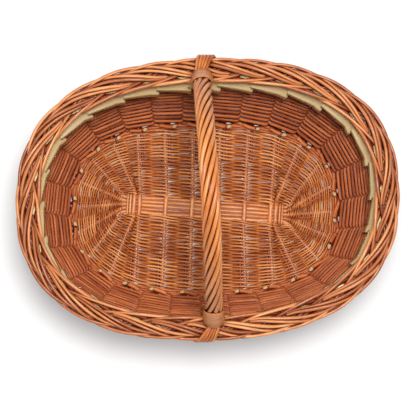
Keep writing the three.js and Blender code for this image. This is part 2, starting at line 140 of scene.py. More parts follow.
# Rods. Each is a dict: path, radius, up (a direction that the rod never runs along), tint from 0
# to 1, and optionally flat (its thickness over its width), cut (which ends show pale wood) and
# slant (the direction that a slanting cut at its start faces).

up = np.array([0.0, 0.0, 1.0])
rodForm = {"wave": 0.025, "spread": 0.03, "capShare": 0.72, "capOut": 0.22}


def rodMesh(rod, sides, random):
    path = np.asarray(rod["path"], float)
    count = len(path)
    along = unit(np.gradient(path, axis=0))
    across = unit(np.cross(along, np.broadcast_to(rod.get("up", up), along.shape)))
    over = np.cross(across, along)
    radius = np.broadcast_to(np.asarray(rod["radius"], float), count).copy()
    lengths = pathLengths(path)
    ripple = random.normal(0, 1, 3)
    wave = np.sin(lengths / 31 + ripple[0] * 5) + np.sin(lengths / 13 + ripple[1] * 5)
    radius *= 1 + rodForm["wave"] * wave + rodForm["spread"] * ripple[2]
    turn = 2 * math.pi * (np.arange(sides) + random.random()) / sides
    c, s = np.cos(turn)[None, :, None], np.sin(turn)[None, :, None]
    flat = np.broadcast_to(np.asarray(rod.get("flat", 1.0), float), count)[:, None, None]
    ringOffset = across[:, None] * c + over[:, None] * s * flat
    rings = path[:, None] + ringOffset * radius[:, None, None]
    capShare, capOut = rodForm["capShare"], rodForm["capOut"]
    if "slant" in rod:
        rings[0] += along[0] * (ringOffset[0] @ rod["slant"] * radius[0])[:, None]
        ringOffset[0] += along[0] * (ringOffset[0] @ rod["slant"])[:, None]
    first = path[0] - along[0] * radius[0] * capOut
    last = path[-1] + along[-1] * radius[-1] * capOut
    firstRing = first + ringOffset[0] * radius[0] * capShare
    lastRing = last + ringOffset[-1] * radius[-1] * capShare
    points = np.concatenate([rings.reshape(-1, 3), firstRing, lastRing, [first, last]])
    shift = random.uniform(0, 400, 3)  # each rod has its own grain
    grain = np.zeros((len(points), 3))
    ringGrain = np.stack([np.cos(turn), np.sin(turn), turn * 0], -1)
    body = ringGrain[None] * radius[:, None, None]
    body[..., 2] = lengths[:, None]
    n = count * sides
    grain[:n] = body.reshape(-1, 3)
    grain[n:n + sides] = body[0] * capShare
    grain[n + sides:n + 2 * sides] = body[-1] * [capShare, capShare, 1]
    grain[-1, 2] = lengths[-1]
    grain += shift
    cut = np.zeros(len(points))
    ends = rod.get("cut", "")
    if "start" in ends:
        cut[n:n + sides] = cut[-2] = 1
    if "end" in ends:
        cut[n + sides:n + 2 * sides] = cut[-1] = 1
    i = np.arange(count - 1)[:, None] * sides
    j = np.arange(sides)[None, :]
    k = (j + 1) % sides
    quads = np.stack([i + j, i + sides + j, i + sides + k, i + k], -1).reshape(-1, 4)
    ring = np.arange(sides)
    nextOne = (ring + 1) % sides
    startBand = np.stack([ring, nextOne, n + nextOne, n + ring], -1)
    endBand = np.stack([n - sides + ring, n + sides + ring,
                        n + sides + nextOne, n - sides + nextOne], -1)
    quads = np.concatenate([quads, startBand, endBand])
    startFan = np.stack([n + ring, n + nextOne, np.full(sides, n + 2 * sides)], -1)
    endFan = np.stack([n + sides + nextOne, n + sides + ring, np.full(sides, n + 2 * sides + 1)], -1)
    return points, quads, np.concatenate([startFan, endFan]), grain, cut


def addRods(name, rods, nodes, material, sides, seed):
    random = np.random.default_rng(seed)
    parts = [rodMesh(rod, sides, random) for rod in rods]
    addPiece(name, parts, [rod["tint"] for rod in rods], nodes, material)


def addPiece(name, parts, tints, nodes, material):  # one mesh from many rods
    starts = np.concatenate([[0], np.cumsum([len(part[0]) for part in parts])])
    points = np.concatenate([part[0] for part in parts]) * 0.001
    quads = np.concatenate([part[1] + start for part, start in zip(parts, starts)])
    triangles = np.concatenate([part[2] + start for part, start in zip(parts, starts)])
    tints = np.concatenate([np.full(len(part[0]), tint) for part, tint in zip(parts, tints)])
    mesh = bpy.data.meshes.new(name)
    mesh.vertices.add(len(points))
    mesh.vertices.foreach_set("co", points.astype(np.float32).ravel())
    corners = np.concatenate([quads.ravel(), triangles.ravel()])
    mesh.loops.add(len(corners))
    mesh.loops.foreach_set("vertex_index", corners.astype(np.int32))
    sizes = np.concatenate([np.full(len(quads), 4), np.full(len(triangles), 3)])
    mesh.polygons.add(len(sizes))
    firstCorners = np.concatenate([[0], np.cumsum(sizes)[:-1]])
    mesh.polygons.foreach_set("loop_start", firstCorners.astype(np.int32))
    mesh.update(calc_edges=True)
    mesh.polygons.foreach_set("use_smooth", np.ones(len(sizes), bool))
    grains = np.concatenate([part[3] for part in parts])
    cuts = np.concatenate([part[4] for part in parts])
    for key, kind, field, values in (
            ("grain", "FLOAT_VECTOR", "vector", grains),
            ("tint", "FLOAT", "value", tints),
            ("cut", "FLOAT", "value", cuts)):
        attribute = mesh.attributes.new(key, kind, "POINT")
        attribute.data.foreach_set(field, values.astype(np.float32).ravel())
    mesh.validate()
    mesh.update()
    piece = bpy.data.objects.new(name, mesh)
    bpy.context.scene.collection.objects.link(piece)
    mesh.materials.append(material)
    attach(piece, "root")
    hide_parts(*nodes)


def ringMesh(grid, grain):  # a skin over a grid of points that closes on itself both ways
    rows, columns = grid.shape[:2]
    i = np.arange(rows)[:, None] * columns
    nextRow = (np.arange(rows)[:, None] + 1) % rows * columns
    j = np.arange(columns)[None, :]
    nextColumn = (j + 1) % columns
    quads = np.stack([i + j, nextRow + j, nextRow + nextColumn, i + nextColumn], -1).reshape(-1, 4)
    noTriangles, noCuts = np.zeros((0, 3), int), np.zeros(rows * columns)
    return grid.reshape(-1, 3), quads, noTriangles, grain.reshape(-1, 3), noCuts


# Willow finishes


def linear(colour):
    shares = [c / 255 for c in colour]
    return tuple(s / 12.92 if s <= 0.04045 else ((s + 0.055) / 1.055) ** 2.4 for s in shares) + (1,)


def willow(name, look):
    material = bpy.data.materials.new(name)
    material.use_nodes = True
    nodes, links = material.node_tree.nodes, material.node_tree.links
    shader = nodes["Principled BSDF"]

    def add(kind, **values):
        node = nodes.new(kind)
        for key, value in values.items():
            setattr(node, key, value)
        return node

    def arithmetic(operation, first, second):
        node = add("ShaderNodeMath", operation=operation)
        for socket, value in zip(node.inputs, (first, second)):
            if isinstance(value, (int, float)):
                socket.default_value = value
            else:
                links.new(value, socket)
        return node.outputs[0]

    def swing(texture, share):  # a texture's change up and down from its middle
        return arithmetic("MULTIPLY", arithmetic("SUBTRACT", texture, 0.5), share)

    def noise(scale, detail):
        mapping = add("ShaderNodeMapping")
        mapping.inputs["Scale"].default_value = scale
        links.new(grain.outputs["Vector"], mapping.inputs["Vector"])
        texture = add("ShaderNodeTexNoise")
        texture.inputs["Scale"].default_value = 1.0
        texture.inputs["Detail"].default_value = detail
        texture.inputs["Roughness"].default_value = 0.55
        links.new(mapping.outputs["Vector"], texture.inputs["Vector"])
        return texture.outputs["Fac"]

    def mixed(factor, first, second, blend="MIX"):
        node = add("ShaderNodeMix", data_type="RGBA", blend_type=blend)
        if isinstance(factor, (int, float)):
            node.inputs[0].default_value = factor
        else:
            links.new(factor, node.inputs[0])
        for socket, value in ((node.inputs[6], first), (node.inputs[7], second)):
            if isinstance(value, tuple):
                socket.default_value = value
            else:
                links.new(value, socket)
        return node.outputs[2]

    def ramp(factor, stops):
        node = add("ShaderNodeValToRGB")
        while len(node.color_ramp.elements) < len(stops):
            node.color_ramp.elements.new(0.5)
        for element, (place, colour) in zip(node.color_ramp.elements, stops):
            element.position = place
            element.color = colour
        links.new(factor, node.inputs[0])
        return node.outputs[0]

    grain = add("ShaderNodeAttribute", attribute_name="grain")
    tint = add("ShaderNodeAttribute", attribute_name="tint")
    cut = add("ShaderNodeAttribute", attribute_name="cut")
    long = noise((0.35, 0.35, 0.022), 3)  # slow change along the rod
    streak = noise((1.5, 1.5, 0.07), 4)  # fine lines along the bark
    fleck = noise((1.1, 1.1, 0.6), 2)
    tinted = arithmetic("MULTIPLY", tint.outputs["Fac"], look["tintShare"])
    level = arithmetic("ADD", tinted, look["tintBase"])
    level = arithmetic("ADD", level, swing(long, look["longShare"]))
    level = arithmetic("ADD", level, swing(streak, look["streakShare"]))
    stops = [(place, linear(colour)) for place, colour in zip(look["places"], look["colours"])]
    bark = ramp(level, stops)
    marks = ramp(fleck, [(look["fleckFrom"], (0, 0, 0, 1)), (look["fleckFrom"] + 0.1, (1, 1, 1, 1))])
    bark = mixed(arithmetic("MULTIPLY", marks, look["fleckShare"]), bark, linear(look["fleckColour"]))
    wood = mixed(streak, linear(look["cutDark"]), linear(look["cutPale"]))
    # painted shade: an ambient occlusion node darkens the colour where rods lie close together
    paintedShadeOcclusion = add("ShaderNodeAmbientOcclusion", samples=8)
    paintedShadeOcclusion.inputs["Distance"].default_value = look["paintedShadeReach"]
    paintedShadeOpenness = ramp(paintedShadeOcclusion.outputs["AO"],
                    [(look["paintedShadeFrom"], (0, 0, 0, 1)), (look["paintedShadeTo"], (1, 1, 1, 1))])
    whole = mixed(cut.outputs["Fac"], bark, wood)
    withPaintedShade = mixed(look["paintedShadeShare"], whole, linear(look["paintedShadeColour"]), "MULTIPLY")
    links.new(mixed(paintedShadeOpenness, withPaintedShade, whole), shader.inputs["Base Color"])
    rough = arithmetic("ADD", look["roughness"], swing(long, look["roughShare"]))
    links.new(rough, shader.inputs["Roughness"])
    bump = add("ShaderNodeBump")
    bump.inputs["Strength"].default_value = look["bump"]
    bump.inputs["Distance"].default_value = look["bumpDepth"]
    links.new(streak, bump.inputs["Height"])
    links.new(bump.outputs["Normal"], shader.inputs["Normal"])
    shader.inputs["IOR"].default_value = look["ior"]
    shader.inputs["Specular IOR Level"].default_value = look["specular"]
    return material


bark = {
    "places": (0.0, 0.3, 0.55, 0.8, 1.0),
    "colours": [(92, 38, 12), (155, 78, 36), (204, 119, 62), (235, 158, 92), (252, 202, 138)],
    "tintShare": 0.5, "tintBase": 0.24, "longShare": 0.7, "streakShare": 0.75,
    "fleckFrom": 0.66, "fleckShare": 0.55, "fleckColour": (92, 46, 26),
    "cutDark": (196, 160, 112), "cutPale": (236, 211, 164),
    "roughness": 0.34, "roughShare": 0.25, "specular": 0.45, "ior": 1.45,
    "bump": 0.5, "bumpDepth": 0.0004,
    # painted shade: where rods lie close together, an ambient occlusion node darkens the bark colour
    "paintedShadeReach": 0.009, "paintedShadeFrom": 0.36, "paintedShadeTo": 0.92,
    "paintedShadeShare": 1.0, "paintedShadeColour": (138, 62, 24),
}
barkFinish = willow("willow_bark", dict(
    bark, colours=[(92, 40, 16), (155, 81, 44), (204, 124, 72), (236, 164, 104), (252, 206, 150)],
    tintBase=0.21))
darkFinish = willow("willow_wall", dict(
    bark, colours=[(98, 40, 13), (162, 79, 37), (212, 120, 63), (239, 157, 93), (252, 202, 138)],
    tintBase=0.17, roughness=0.42, specular=0.35))
# painted shade in the crevices: less on the base and the sticks, none on the peeled splints
baseFinish = willow("willow_base", dict(bark, tintBase=0.31, paintedShadeShare=0.8))
stickFinish = willow("willow_sticks", dict(bark, tintBase=0.3, paintedShadeShare=0.3))
handleFinish = willow("willow_handle", dict(bark, tintBase=0.35, streakShare=0.85, roughness=0.36))
peeledFinish = willow("willow_peeled", dict(
    bark, colours=[(226, 190, 122), (244, 214, 150), (252, 228, 172), (254, 238, 192), (255, 246, 214)],
    fleckColour=(190, 150, 96), fleckShare=0.4, roughness=0.6, paintedShadeShare=0.0))
print("finishes made")

# Base sticks, with the slath in the middle of the base

base = {
    "longDiameter": 4.6, "crossDiameter": 5.6, "slathLength": 210, "slathTurn": -3.7, "longSticks": 5,
    "crossSticks": 8, "crossSpacing": 34, "pairSpacing": 7, "gap": 0.35, "level": 6, "strap": 2.1,
    "longBend": 20, "slathBend": 60, "longSwell": 0.16, "plateInset": 6.85, "stakeRadius": 2.4,
    "slitEnd": 22, "halfGap": 0.2, "halfSwell": 0.02, "halfFlat": 0.42,  # the halves of a slit stick
}
longRadius, crossRadius = base["longDiameter"] / 2, base["crossDiameter"] / 2
longPitch = base["longDiameter"] + base["gap"]
slitHalf = (base["longSticks"] - 1) / 2 * longPitch + longRadius + base["gap"]
windowHalf = slitHalf + base["strap"] + crossRadius


def slathPoint(x, y):
    turn = math.radians(base["slathTurn"])
    return np.array([x * math.cos(turn) - y * math.sin(turn), x * math.sin(turn) + y * math.cos(turn)])


def runInsideBase(anchor, along, inset):
    halves = np.array([wall["footLength"] / 2 - inset, wall["footWidth"] / 2 - inset])
    low, high = 0, wall["footLength"]
    while high - low > 0.01:
        middle = (low + high) / 2
        if np.sum(np.abs((anchor + along * middle) / halves) ** wall["footPower"]) < 1:
            low = middle
        else:
            high = middle
    return low


def stickRun(k, anchor, radius):
    foot = wallPoint(k + wall["stakeShift"], 0, base["level"])[:2]
    reach = foot - anchor
    turn = math.asin((radius + base["stakeRadius"] + base["gap"]) / np.linalg.norm(reach))
    x, y = unit(reach)
    along = np.array([x * math.cos(turn) - y * math.sin(turn), x * math.sin(turn) + y * math.cos(turn)])
    length = runInsideBase(anchor, along, base["plateInset"] + 2 * base["gap"])
    return {"k": k % wall["stakes"], "anchor": anchor, "along": along, "foot": foot,
            "length": length, "end": anchor + along * length, "radius": radius}


def onBase(point, z=None):  # a point in the plane of the base, or at another height
    return np.array([point[0], point[1], base["level"] if z is None else z])


longRuns, crossRuns = [], []
for i in range(base["longSticks"]):
    step = i - (base["longSticks"] - 1) / 2
    rightAnchor = slathPoint(base["slathLength"] / 2, step * longPitch)
    leftAnchor = slathPoint(-base["slathLength"] / 2, step * longPitch)
    right = stickRun(step, rightAnchor, longRadius)
    left = stickRun(wall["stakes"] / 2 - step, leftAnchor, longRadius)
    longRuns.append((left, right))
singles = (base["crossSticks"] - 1) / 2 - 1
for i in range(base["crossSticks"]):
    step = i - (base["crossSticks"] - 1) / 2
    x = np.clip(step, -singles, singles) * base["crossSpacing"]
    x += np.sign(step) * max(abs(step) - singles, 0) * base["pairSpacing"]
    k = (base["longSticks"] - 1) / 2 + base["crossSticks"] - i
    far = stickRun(k, slathPoint(x, windowHalf), crossRadius)
    near = stickRun(wall["stakes"] - k, slathPoint(x, -windowHalf), crossRadius)
    crossRuns.append((x, far, near))
runs = [run for pair in longRuns for run in pair] + [run for _, *pair in crossRuns for run in pair]
runs.sort(key=lambda run: run["k"])
random = np.random.default_rng(7)

for i, (left, right) in enumerate(longRuns):
    y = (i - (base["longSticks"] - 1) // 2) * longPitch
    leftBend = left["anchor"] + left["along"] * base["longBend"]
    rightBend = right["anchor"] + right["along"] * base["longBend"]
    head = smoothThrough([onBase(left["end"]), onBase(leftBend)], 8)
    inner = [slathPoint(-base["slathBend"], y), slathPoint(0, y + random.normal(0, 0.3)),
             slathPoint(base["slathBend"], y)]
    middle = smoothThrough(
        [onBase(p) for p in (leftBend, left["anchor"], *inner, right["anchor"], rightBend)], 8)
    tail = smoothThrough([onBase(rightBend), onBase(right["end"])], 8)
    stick = {"path": np.concatenate([head[:-1], middle[:-1], tail]),
             "radius": longRadius + base["longSwell"], "tint": random.uniform(0.4, 0.75)}
    addRods(f"long_base_stick_{i + 1}", [stick], [f"base_stick_long_{i + 1}"],
            stickFinish, 10, 20 + i)

for i, (x, far, near) in enumerate(crossRuns):
    lift = longRadius + base["halfGap"] + base["strap"] / 2
    rods = []
    for side in (1, -1):  # the two halves of the slit stick, over and under the long sticks
        nearBend = near["anchor"] + near["along"] * base["slitEnd"]
        farBend = far["anchor"] + far["along"] * base["slitEnd"]
        points = [onBase(p) for p in (near["end"], nearBend, near["anchor"])]
        points += [onBase(slathPoint(x, y), base["level"] + side * lift)
                   for y in (-slitHalf + 1, 0, slitHalf - 1)]
        points += [onBase(p) for p in (far["anchor"], farBend, far["end"])]
        path = smoothThrough(points, 8)
        opened = np.clip((np.abs(path[:, 2] - base["level"])) / lift, 0, 1)
        rods.append({"path": path, "radius": crossRadius * (1 + base["halfSwell"] * opened),
                     "tint": random.uniform(0.4, 0.75), "flat": 1 - base["halfFlat"] * opened})
    addRods(f"cross_base_stick_{i + 1}", rods, [f"base_stick_cross_{i + 1}"],
            stickFinish, 12, 40 + i)
print("base sticks done")

# Base weave: two rods that twist round each other between one stick and the next

pairing = {
    "rounds": 22, "inner": -4.4, "innerLong": 3.0, "outer": 9,  # its first and last point along a stick
    "rod": 1.6, "thin": 1.15, "share": 0.325, "flat": 0.95,
    "lift": 4.0, "beside": 0.9, "wobble": (0.3, 0.25), "pressed": 0.14,
    "length": (34, 60), "taper": (1.1, 0.92),  # the length of a rod, in stick spaces
}


def rowPoint(run, share):
    inner = pairing["innerLong"] if run["radius"] == longRadius else pairing["inner"]
    return run["anchor"] + run["along"] * (inner + (run["length"] + pairing["outer"] - inner) * share)


def basePairing():
    rounds, stepsPerGap = pairing["rounds"], 6
    count = wall["stakes"]
    total = int(rounds * count)
    corners = np.array([rowPoint(runs[i % count], max(i, 0) / total) for i in range(-10, total + 1)])
    line = smoothThrough(corners, stepsPerGap)
    place = np.arange(len(line)) / stepsPerGap
    pitch = np.array([np.linalg.norm(rowPoint(run, 1) - rowPoint(run, 0)) / rounds for run in runs])
    weaver = np.interp((place - 10) % count, np.arange(count), pitch * pairing["share"], period=count)
    weaver = np.clip(weaver, pairing["thin"], pairing["rod"])
    side = unit(np.stack([np.gradient(line[:, 1]), -np.gradient(line[:, 0])], -1))
    rods = []
    for strand in range(2):
        twist = math.pi * (place + strand)
        slow, quick = np.sin(place * 0.9 + strand * 2), np.sin(place * 2.3 + strand)
        wobble = pairing["wobble"][0] * slow + pairing["wobble"][1] * quick
        beside = np.sign(np.sin(twist)) * np.abs(np.sin(twist)) ** 0.5
        flatLine = line + side * (pairing["beside"] * weaver * beside + wobble)[:, None]
        # thinner where it crosses a stick
        pressed = weaver * (1 - pairing["pressed"] + pairing["pressed"] * np.abs(beside))
        path = np.concatenate([flatLine, (base["level"] + pairing["lift"] * np.cos(twist))[:, None]], 1)
        start = 0
        while start < len(path) - 20:
            length = int(random.uniform(*pairing["length"]) * stepsPerGap)
            stop = min(start + length, len(path))
            if len(path) - stop < 40:
                stop = len(path)
            taper = np.linspace(*pairing["taper"], stop - start)
            rods.append({"path": path[start:stop], "radius": pressed[start:stop] * taper,
                         "flat": pairing["flat"], "tint": random.uniform(0.2, 0.9), "cut": "start end"})
            start = stop - stepsPerGap
    return rods


addRods("base_pairing", basePairing(), ["base_weave"], baseFinish, 7, 3)

tie = {"rod": 1.4, "fromEnd": 5, "pitch": 3.4, "over": 1.6}

for name, sign in (("left", -1), ("right", 1)):  # two rods tied round each end of the slath
    rods = []
    for turn in range(2):
        x = sign * (base["slathLength"] / 2 - tie["fromEnd"] - tie["pitch"] * turn)
        high, low = longRadius + tie["over"], -longRadius - tie["over"]
        loop = []
        for y, z in ((-slitHalf - 0.5, 0), (-slitHalf + 1.5, high), (0, high + 0.2),
                     (slitHalf - 1.5, high), (slitHalf + 0.5, 0), (slitHalf - 1.5, low), (0, low),
                     (-slitHalf + 1.5, low)):
            loop.append(onBase(slathPoint(x, y), base["level"] + z))
        path = smoothThrough(loop, 6, closed=True)
        path = np.concatenate([path, path[:4]])
        rods.append({"path": path, "radius": tie["rod"], "tint": random.uniform(0.4, 0.8),
                     "up": np.array([1.0, 0.0, 0.0])})
    addRods(f"slath_tie_{name}", rods, [f"slath_binding_{name}"], baseFinish, 8, 60)
print("base weave done")

# Side stakes

stake = {"radius": base["stakeRadius"], "insertion": 38, "bend": 12, "rise": 4}


def stakePath(run):
    inward = -run["along"]
    bendStart = run["foot"] + inward * stake["bend"]
    butt = bendStart + inward * stake["insertion"]
    place = run["k"] + wall["stakeShift"]
    low, corner = onBase(bendStart), onBase(run["foot"])
    high = wallPoint(place, 0, base["level"] + stake["bend"])
    t = np.linspace(0, 1, 8)[:, None]
    bend = low * (1 - t) ** 2 + 2 * corner * t * (1 - t) + high * t ** 2
    line = onBase(butt) + (low - onBase(butt)) * np.linspace(0, 1, 7)[:-1, None]
    heights = np.linspace(base["level"] + stake["bend"], wall["height"] + stake["rise"], 16)
    rise = wallPoint(place, 0, heights[1:])
    return np.concatenate([line, bend, rise])


for run in runs:
    number = int(run["k"]) + 1
    _, normal = wallFrame(run["k"] + wall["stakeShift"], 0)
    sideways = np.array([-normal[1], normal[0], 0])
    rod = {"path": stakePath(run), "radius": stake["radius"], "up": sideways,
           "tint": random.uniform(0.3, 0.8), "cut": "start"}
    addRods(f"stake_{number}", [rod], [f"side_stake_{number}"], darkFinish, 8,
            70 + number)
print("side stakes done")

# Upsett: three rods that pass outside two stakes and inside one, and two more inside over the bends

wale = {
    "rod": 2.5, "rounds": 2, "low": 4.9, "high": 13.4, "sink": 1.68, "rise": 4, "bulge": 0.8,
    "inside": [(-6.2, 9.4, 0.0), (-3.6, 10.6, 0.5)],  # offset, height and shift along of each rod
    "insideRod": 1.9, "insideWave": (0.4, 1.4),
}


def waleRods():
    rods = []
    stops = int(wale["rounds"] * wall["stakes"])
    outside = stake["radius"] + wale["rod"]
    for strand in range(3):
        points = []
        for i in range(stops + 1):
            phase = (i - strand) % 3
            offset = -outside if phase == 0 else outside
            z = wale["low"] + (wale["high"] - wale["low"]) * i / stops
            z += {0: wale["rise"] * (1 - i / stops), 1: wale["sink"], 2: -wale["sink"]}[phase]
            place = i + wall["stakeShift"]
            points.append((place, offset, z))
            between = {0: 0, 1: outside + wale["bulge"], 2: 0}[phase]
            points.append((place + 0.5, between, z - (wale["sink"] if phase == 1 else 0)))
        place, offset, z = smoothThrough(points, 5).T
        rods.append({"path": wallPoint(place, offset, z), "radius": wale["rod"],
                     "tint": random.uniform(0.3, 0.8), "cut": "start end"})
    place = np.arange(0, wall["stakes"] + 0.3, 0.125) + wall["stakeShift"]
    for offset, z, shift in wale["inside"]:
        wave = np.cos(2 * math.pi * (place - wall["stakeShift"] + shift))
        waveOut, waveUp = wale["insideWave"]
        rods.append({"path": wallPoint(place + 5 * shift, offset - waveOut * wave, z + waveUp * wave),
                     "radius": wale["insideRod"], "tint": 0.5 + 0.3 * shift, "cut": "start end"})
    return rods


addRods("upsett_rods", waleRods(), ["upsett_wale"], darkFinish, 8, 4)

# Siding: French randing, one weaver for each stake, in front of one and behind one

siding = {
    "bottom": 17.4, "top": 168.6, "rows": 32, "slowing": 2.6, "steps": 20,
    "thick": 2.5, "thin": 1.5, "spread": (0.94, 1.06), "press": 0.3, "tall": 1.55,
    "wander": (0.3, 0.25),
    "sway": [(0, -1), (0.4, -1), (0.46, -0.8), (0.5, 0), (0.54, 0.8), (0.6, 1), (1, 1), (1.4, 1),
             (1.46, 0.8), (1.5, 0), (1.54, -0.8), (1.6, -1), (2, -1)],
}


def sidingRods(first):
    rods = []
    for j in range(first, wall["stakes"], 2):
        r = np.arange(0, siding["rows"] * siding["steps"] + 1) / siding["steps"]
        share = r / siding["rows"]
        pitch = (siding["top"] - siding["bottom"]) / siding["rows"] + siding["slowing"] / 2
        z = siding["bottom"] + pitch * r - siding["slowing"] * r * share / 2
        radius = siding["thick"] + (siding["thin"] - siding["thick"]) * share
        radius = radius * random.uniform(*siding["spread"])
        u = (r + 0.5) % 2  # inside a stake at 0 and outside the next at 1
        sway = np.interp(u, *np.transpose(siding["sway"]))
        offset = (siding["press"] + radius) * sway
        wander = random.uniform(0, 6, 2)
        z = z + siding["wander"][0] * np.sin(r * 0.8 + wander[0])
        offset = offset + siding["wander"][1] * np.sin(r * 1.7 + wander[1])
        rods.append({"path": panelPoint(j + wall["stakeShift"] + 0.5 + r, offset, z), "radius": radius,
                     "flat": siding["tall"], "tint": random.uniform(0.3, 0.75), "cut": "start end"})
    return rods


butt = {
    # place, offset and height along each butt
    "line": [(0, -8.6, 18.5), (0.12, -7.8, 17.5), (0.3, -6.0, 16.0), (0.5, -3.0, 14.5)],
    "shift": -0.16, "uneven": (0.05, 0.8), "radius": (2.5, 3.1), "slant": (1.1, 1.6),
}


def buttRods():  # the slanting cut end of each weaver, at the foot of the wall
    rods = []
    along, offset, z = np.transpose(butt["line"])
    for k in range(wall["stakes"]):
        place = k + wall["stakeShift"] + butt["shift"] + random.normal(0, butt["uneven"][0])
        path = wallPoint(place + along, offset, z + random.normal(0, butt["uneven"][1]))
        _, normal = wallFrame(place, 0)
        facing = np.array([-normal[0] * 0.6, -normal[1] * 0.6, 0.9]) * random.uniform(*butt["slant"])
        rods.append({"path": smoothThrough(path, 4), "radius": random.uniform(*butt["radius"]),
                     "tint": random.uniform(0.6, 0.95), "cut": "start", "slant": facing})
    return rods


addRods("randing_1", sidingRods(0) + buttRods(), ["siding"], darkFinish, 7, 5)
addRods("randing_2", sidingRods(1), ["siding"], darkFinish, 7, 6)
print("siding done")

# Liner: peeled splints at the top of the siding, each ending in a cut tip

liner = {
    "start": 0.05, "length": (1.02, 1.12), "taper": 1.1, "thickness": 1.2, "overlap": 0.9,
    "low": 159, "drop": 20, "top": 170.6, "uneven": 1.2,
    "back": -6.2, "lean": 4.6, "leanFar": 2.6, "flap": 6,
}


def linerParts():
    parts = []
    for i in range(wall["stakes"]):
        length = random.uniform(*liner["length"])
        along = np.linspace(0, length, 14)
        _, normal = wallFrame(i + along, wall["height"])
        lean = liner["lean"] + liner["leanFar"] * normal[:, 1]
        drop = liner["drop"] * np.maximum(1 - along / liner["taper"], 0)
        low = liner["low"] - drop + random.normal(0, liner["uneven"])
        section = []
        for layer in (0, 1):  # the face towards the wall, then the face towards the basket
            depth = liner["thickness"] * layer + liner["overlap"] * (1 - along)
            place = i + liner["start"] + along
            back = liner["back"] - depth
            rise = [panelPoint(place, back - lean * (1 - t), low + (liner["top"] - low) * t)
                    for t in (0, 0.25, 0.5, 0.75, 1)]
            over = panelPoint(place, liner["flap"], liner["top"] + liner["thickness"] * layer)
            section += [*rise, over] if layer == 0 else [over, *rise[::-1]]
        grid = np.stack(section, 1)
        rows, columns = grid.shape[:2]
        grain = np.zeros(grid.shape)
        grain[..., 0] = np.linspace(0, 60, columns)[None]
        grain[..., 2] = pathLengths(grid[:, 0])[:, None]
        grain += random.uniform(0, 400, 3)
        j = np.arange(columns)
        nextOne = (j + 1) % columns
        k = np.arange(rows - 1)[:, None] * columns
        quads = np.stack([k + j, k + nextOne, k + columns + nextOne, k + columns + j], -1)
        caps = []
        for row, turned in ((0, True), (rows - 1, False)):
            for a in range(columns // 2 - 1):
                corners = [row * columns + c for c in (a, a + 1, columns - 2 - a, columns - 1 - a)]
                caps.append(corners[::-1] if turned else corners)
        quads = np.concatenate([quads.reshape(-1, 4), caps])
        parts.append((grid.reshape(-1, 3), quads, np.zeros((0, 3), int),
                      grain.reshape(-1, 3), np.zeros(rows * columns)))
    return parts


addPiece("peeled_splints", linerParts(), random.uniform(0.3, 0.8, wall["stakes"]), ["liner"],
         peeledFinish)
print("liner done")

# Border: two rods for each stake lean clockwise, pass inside, under the plait, round the outside and
# back over the top, and are tucked in. u counts places clockwise, n is outward and z is up.

border = {
    "line": [  # u, then n and z of the inner rod, then n and z of the outer rod
        (-2.5, 0.0, 170.5, 2.5, 170.5), (-2.1, 6.0, 173.0, 9.2, 173.0),
        (-1.7, 8.6, 175.6, 12.0, 175.6), (-1.3, 5.6, 176.2, 9.4, 175.4),
        (-0.95, -2.5, 176.0, 1.5, 174.6), (-0.6, -9.0, 177.5, -6.6, 173.8),
        (-0.25, -12.0, 181.0, -11.0, 176.4), (0.1, -12.9, 183.4, -12.3, 178.6),
        (0.5, -12.5, 184.4, -11.6, 179.6), (0.9, -10.8, 183.4, -9.6, 178.8),
        (1.25, -7.6, 181.4, -6.2, 177.0), (1.6, -3.0, 179.2, -0.4, 176.6),
        (1.95, 2.0, 178.2, 5.4, 179.2), (2.25, 5.0, 179.4, 9.2, 183.0),
        (2.55, 6.6, 181.6, 11.2, 185.4), (2.85, 7.2, 183.4, 12.2, 185.6),
        (3.15, 7.2, 184.4, 12.2, 184.0), (3.5, 6.0, 186.4, 11.0, 183.4),
        (3.8, 3.6, 188.4, 8.4, 186.0), (4.1, 0.4, 189.6, 4.8, 188.8),
        (4.4, -2.8, 188.8, 1.2, 189.4), (4.7, -5.6, 186.6, -2.0, 187.6),
        (4.95, -6.8, 184.2, -4.0, 185.4), (5.2, -6.4, 182.0, -4.4, 183.2),
    ],
    "thick": 2.35, "thin": 1.9, "spread": (0.92, 1.1), "uneven": (0.4, 0.3),
    "bed": [(1.5, 172.6), (5.6, 174.6), (9.2, 176.6)],  # offset and height of each ring below
    "bedRod": 2.3, "bedWave": (0.6, 0.5),
}


def borderRods():
    rods = []
    line = smoothThrough(border["line"], 6)
    u = line[:, 0]
    for k in range(wall["stakes"]):
        for column in (1, 3):
            jitter = random.normal(0, 1, 4)
            wanderOut, wanderUp = border["uneven"]
            offset = line[:, column] + wanderOut * jitter[0] * np.sin(u * 1.1 + jitter[1])
            z = line[:, column + 1] + wanderUp * jitter[2] * np.sin(u * 1.3 + jitter[3])
            radius = np.linspace(border["thick"], border["thin"], len(line))
            radius = radius * random.uniform(*border["spread"])
            rods.append({"path": wallPoint(k - u, offset, z), "radius": radius,
                         "tint": random.uniform(0.25, 1.0), "cut": "end"})
    place = np.arange(0, wall["stakes"] + 0.3, 0.2)
    for offset, z in border["bed"]:  # the stakes' lower crossings, drawn as rings under the plait
        wave = np.sin(2 * math.pi * place)
        waveOut, waveUp = border["bedWave"]
        rods.append({"path": wallPoint(place, offset + waveOut * wave, z + waveUp * wave),
                     "radius": border["bedRod"], "tint": 0.35})
    return rods


addRods("plaited_border", borderRods(), ["border"], barkFinish, 9, 9)
print("border done")

# Handle: a bow wound with eight rods, its feet bound to the border

